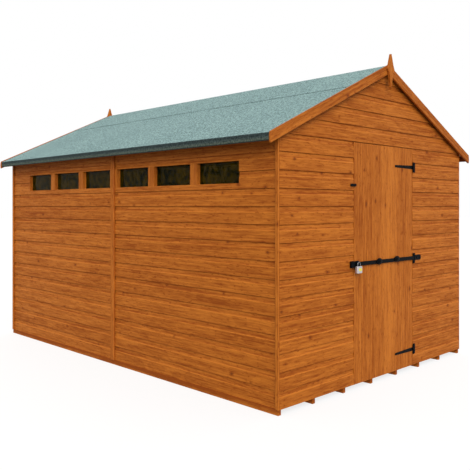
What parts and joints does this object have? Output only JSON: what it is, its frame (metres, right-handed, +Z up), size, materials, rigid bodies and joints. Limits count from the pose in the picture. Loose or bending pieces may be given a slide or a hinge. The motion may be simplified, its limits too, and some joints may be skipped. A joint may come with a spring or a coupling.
{
  "type": "apex shed",
  "caption": "Timber garden shed with an apex felt roof, shiplap walls, a row of small high windows and a ledged door with T-hinges and a security bar.",
  "frame": {"origin": "middle of the footprint on the ground, under the bearers", "axes": "+Z up, -Y out of the front gable with the door, -X out of the side wall with the windows"},
  "size_m": [2.6656, 3.7926, 2.4608],
  "materials": {
    "dipped_timber": "sawn softwood, orange-brown dip",
    "roof_timber": "sawn softwood boards, untreated inside",
    "felt": "mineral roofing felt, green-grey granules",
    "dark_glass": "clear sheet glazing, dark inside",
    "black_iron": "black japanned iron",
    "lock_body": "satin, brass-coloured face",
    "lock_steel": "bright hardened steel"
  },
  "bodies": {
    "shed": {"floor_bearers": "dipped_timber", "floor_boards": "dipped_timber", "left_wall_front_panel": "dipped_timber", "left_wall_back_panel": "dipped_timber", "right_wall_front_panel": "dipped_timber", "right_wall_back_panel": "dipped_timber", "left_wall_frame": "dipped_timber", "right_wall_frame": "dipped_timber", "front_wall_left": "dipped_timber", "front_wall_right": "dipped_timber", "front_gable": "dipped_timber", "back_wall": "dipped_timber", "front_wall_frame": "dipped_timber", "back_wall_frame": "dipped_timber", "corner_strips": "dipped_timber", "panel_joint_strips": "dipped_timber", "window_beads_front": "dipped_timber", "window_beads_back": "dipped_timber", "eaves_boards": "dipped_timber", "front_bargeboards": "dipped_timber", "back_bargeboards": "dipped_timber", "front_finial": "dipped_timber", "back_finial": "dipped_timber", "roof_boards_left": "roof_timber", "roof_boards_right": "roof_timber", "roof_truss": "roof_timber", "roof_purlins": "roof_timber", "felt_left": "felt", "felt_right": "felt", "felt_ridge": "felt", "window_glass_front": "dark_glass", "window_glass_back": "dark_glass", "hinge_plates": "black_iron", "bar_bracket": "black_iron", "bar_keeper": "black_iron"},
    "door": {"door_boards": "dipped_timber", "door_ledges": "dipped_timber", "door_braces": "dipped_timber", "hinge_straps": "black_iron", "security_bar": "black_iron", "bar_rosettes": "black_iron", "bar_spacers": "black_iron", "lock_box": "black_iron", "lock_eye": "black_iron", "padlock_body": "lock_body", "padlock_shackle": "lock_steel", "button_boss": "black_iron"},
    "button": {"turn_button": "black_iron"}
  },
  "joints": [
    {"name": "door_swing", "type": "hinge", "parent": "shed", "child": "door", "pos_m": [0.4067, -1.846, 0.9], "axis": [0, 0, 1], "range_deg": [0, 110]},
    {"name": "button_turn", "type": "hinge", "parent": "door", "child": "button", "pos_m": [-0.3942, -1.8483, 1.465], "axis": [0, 1, 0], "range_deg": [-90, 90]}
  ]
}
